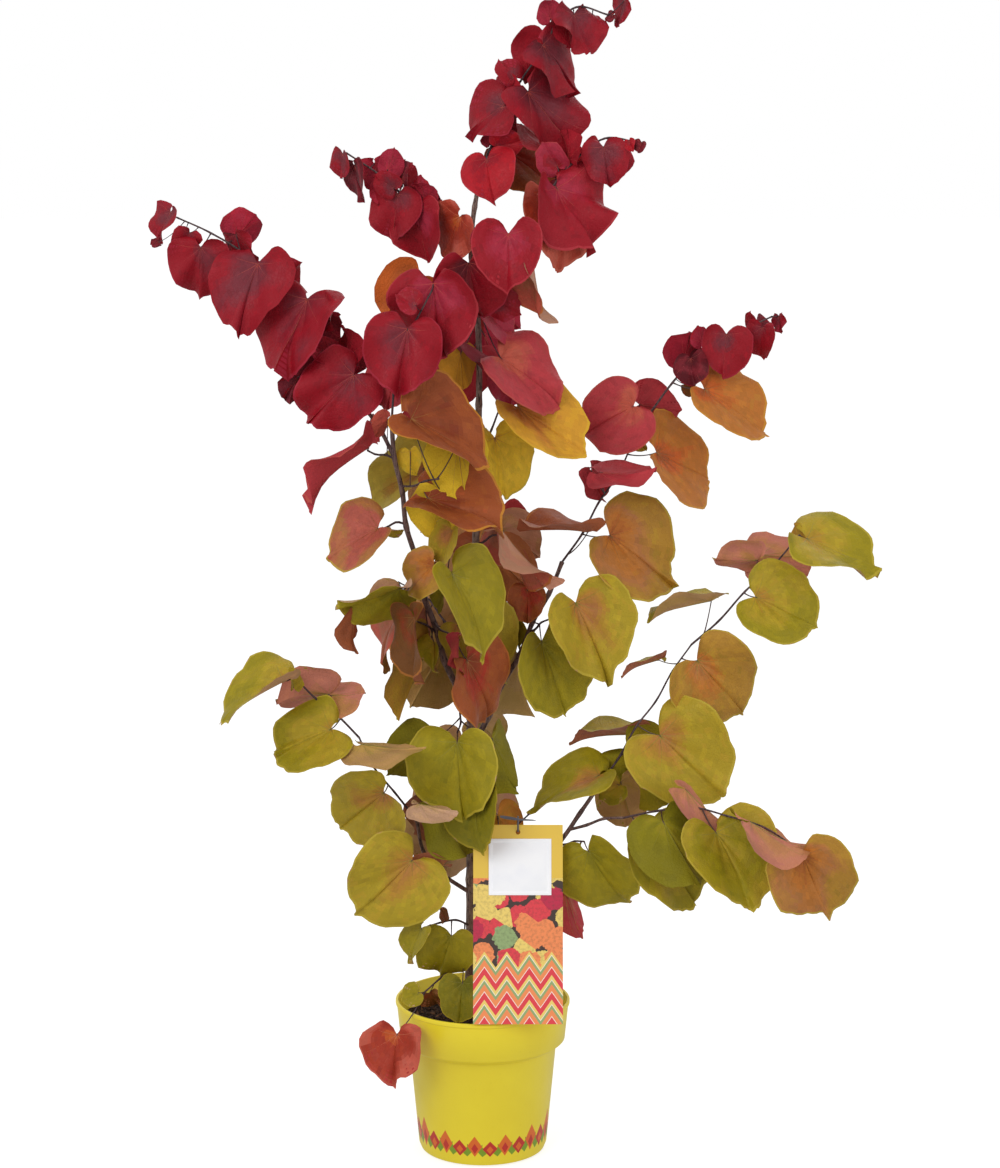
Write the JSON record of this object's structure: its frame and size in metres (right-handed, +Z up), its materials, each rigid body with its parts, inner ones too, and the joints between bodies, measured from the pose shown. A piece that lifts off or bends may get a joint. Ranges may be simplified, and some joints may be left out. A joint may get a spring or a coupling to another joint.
{
  "type": "potted young redbud tree",
  "caption": "Young redbud tree in autumn leaf, standing in a round plastic nursery pot with a blank-panelled card tied to a twig.",
  "frame": {"origin": "middle of the pot's flat underside", "axes": "+Z up, -Y towards the side with the card, +X to the right as seen from that side"},
  "size_m": [0.9064, 0.4673, 1.4391],
  "materials": {
    "pot": "satin yellow plastic",
    "compost": "dark moist potting compost",
    "card": "coated printed card",
    "tie": "dark grey plastic-coated wire",
    "bark": "smooth grey-brown bark",
    "foliage": "thin matt leaves on dark stalks"
  },
  "bodies": {
    "root": {"pot": "pot", "soil": "compost", "card": "card", "card_tie": "tie", "trunk": "bark", "bough_left_tall": "bark", "bough_left_upper": "bark", "bough_upper_right": "bark", "bough_right_mid": "bark", "bough_right_low": "bark", "bough_right_side": "bark", "bough_left_low": "bark", "foliage_low_twig": "foliage", "foliage_low_heart": "foliage", "foliage_left_foot": "foliage", "foliage_centre_foot": "foliage", "foliage_centre_low": "foliage", "foliage_centre_right": "foliage", "foliage_centre_mid": "foliage", "foliage_left_hang": "foliage", "foliage_left_drop": "foliage", "foliage_centre_left": "foliage", "foliage_left_mid": "foliage", "foliage_left_high": "foliage", "foliage_left_gold": "foliage", "foliage_left_inner": "foliage", "foliage_right_inner": "foliage", "foliage_right_centre": "foliage", "foliage_right_nook": "foliage", "foliage_right_base": "foliage", "foliage_crown": "foliage", "foliage_upper_left": "foliage", "foliage_leader": "foliage", "foliage_leader_tip": "foliage", "foliage_upper_right": "foliage", "foliage_left_spray_inner": "foliage", "foliage_left_spray_outer": "foliage", "foliage_right_mid_inner": "foliage", "foliage_right_mid_outer": "foliage", "foliage_right_low_inner": "foliage", "foliage_right_low_outer": "foliage", "foliage_right_side": "foliage", "foliage_right_under": "foliage", "foliage_left_low_inner": "foliage", "foliage_left_low_outer": "foliage", "foliage_back_low": "foliage", "foliage_back_left": "foliage", "foliage_back_right": "foliage", "foliage_back_mid": "foliage", "foliage_back_high": "foliage"}
  },
  "joints": []
}
